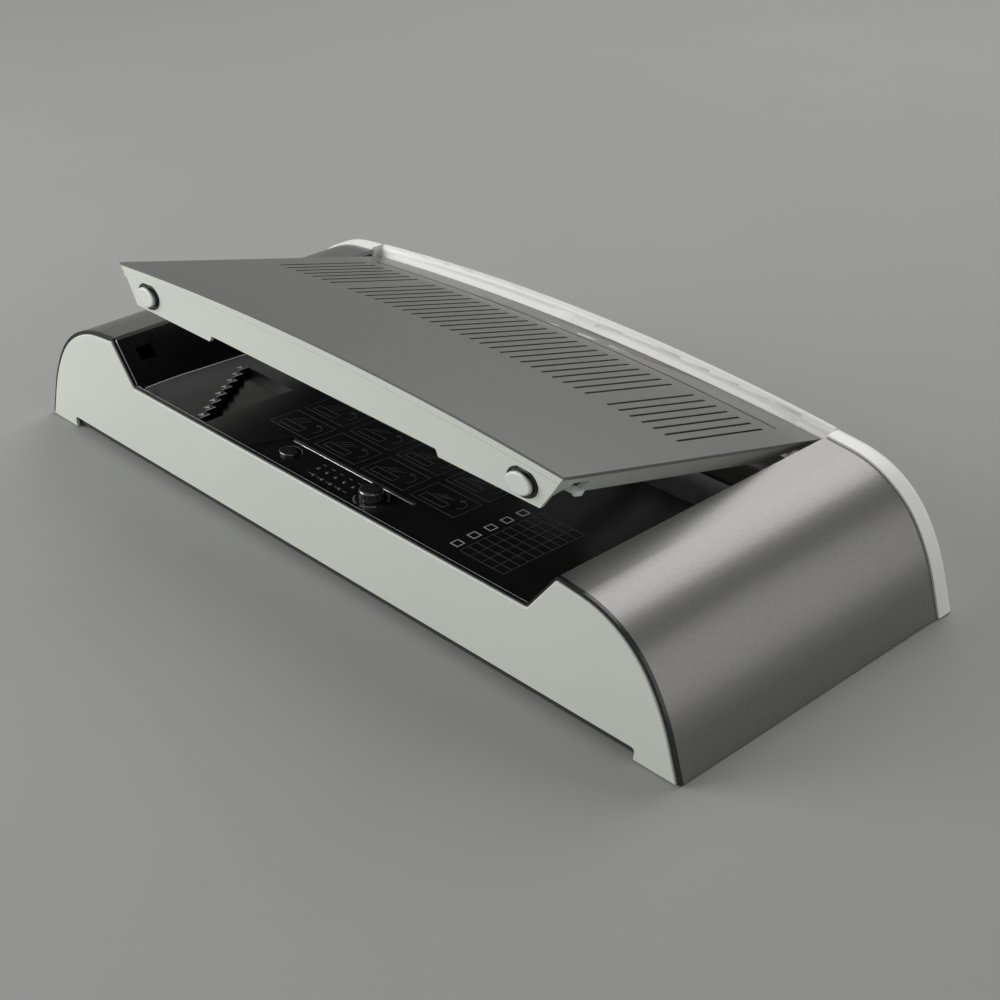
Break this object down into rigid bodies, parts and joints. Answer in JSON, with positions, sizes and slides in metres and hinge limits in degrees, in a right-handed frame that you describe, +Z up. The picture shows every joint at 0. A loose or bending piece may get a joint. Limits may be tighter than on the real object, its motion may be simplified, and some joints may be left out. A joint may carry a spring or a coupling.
{
  "type": "thermal binding machine",
  "caption": "Wide low arched thermal binding machine with a louvred crowned lid standing part open over a black tray.",
  "frame": {"origin": "on the floor, under the middle of the case", "axes": "+Z up, -Y towards the front, +X to the right seen from the front"},
  "size_m": [0.5296, 0.215, 0.1307],
  "materials": {
    "plastic_pale": "fine satin moulding",
    "plastic_white": "fine satin moulding",
    "plastic_black": "satin black moulding",
    "plastic_case": "satin dark moulding",
    "gloss_black": "polished black moulding",
    "metal_paint": "metallic grey paint on sheet",
    "bare_aluminium": "folded sheet, lightly brushed",
    "steel": "plated steel",
    "insulation": "pressed heat-proof board",
    "board": "solder-masked board",
    "lens": "clear tinted lens",
    "button_grey": "satin grey moulding",
    "button_white": "satin moulding",
    "rubber": "moulded rubber"
  },
  "bodies": {
    "case": {"base_tub": "plastic_case", "front_fascia": "plastic_pale", "edge_trim": "gloss_black", "left_side_panel": "metal_paint", "right_side_panel": "metal_paint", "tray": "gloss_black", "left_cheek": "gloss_black", "right_cheek": "gloss_black", "rear_shell": "plastic_white", "mains_inlet": "plastic_black", "heating_trough": "bare_aluminium", "heating_element": "steel", "trough_insulation": "insulation", "thermal_cutout": "steel", "temperature_sensor": "steel", "power_board": "board", "control_panel": "gloss_black", "indicator_lenses": "lens", "control_board": "board", "power_switch": "plastic_black", "selector_encoder": "plastic_black", "left_hinge_bracket": "steel", "right_hinge_bracket": "steel", "rubber_feet": "rubber", "base_screws": "steel"},
    "lid": {"lid_panel": "metal_paint", "lid_frame": "plastic_pale", "lid_liner": "plastic_black", "lid_rear_rim": "plastic_white", "hinge_pins": "steel", "latch_pins": "steel"},
    "button_right": {"right_release_button": "button_white"},
    "button_left": {"left_release_button": "button_white"},
    "hook_right": {"right_latch_hook": "plastic_white"},
    "hook_left": {"left_latch_hook": "plastic_white"},
    "power": {"power_button": "button_grey"},
    "dial": {"selector_dial": "button_grey"}
  },
  "joints": [
    {"name": "lid_hinge", "type": "hinge", "parent": "case", "child": "lid", "pos_m": [0, 0.095, 0.069], "axis": [-1, 0, 0], "range_deg": [-14, 58]},
    {"name": "right_button_press", "type": "slide", "parent": "lid", "child": "button_right", "axis": [0, 0.9983, -0.0584], "range_m": [0, 0.0022], "stiffness_N_per_m": 250},
    {"name": "right_hook_swing", "type": "hinge", "parent": "lid", "child": "hook_right", "pos_m": [0.152, -0.0818, 0.11625], "axis": [1, 0, 0], "range_deg": [0, 17]},
    {"name": "left_button_press", "type": "slide", "parent": "lid", "child": "button_left", "axis": [0, 0.9983, -0.0584], "range_m": [0, 0.0022], "stiffness_N_per_m": 250},
    {"name": "left_hook_swing", "type": "hinge", "parent": "lid", "child": "hook_left", "pos_m": [-0.152, -0.0818, 0.11625], "axis": [1, 0, 0], "range_deg": [0, 17]},
    {"name": "power_press", "type": "slide", "parent": "case", "child": "power", "axis": [0, 0, -1], "range_m": [0, 0.0008], "stiffness_N_per_m": 300},
    {"name": "dial_turn", "type": "hinge", "parent": "case", "child": "dial", "pos_m": [0.03, -0.0895, 0.05], "axis": [0, 0, -1], "range_deg": [-75, 75]}
  ],
  "couplings": [
    {"joint": "right_hook_swing", "follows": "right_button_press", "rad_per_m": 130},
    {"joint": "left_hook_swing", "follows": "left_button_press", "rad_per_m": 130}
  ]
}
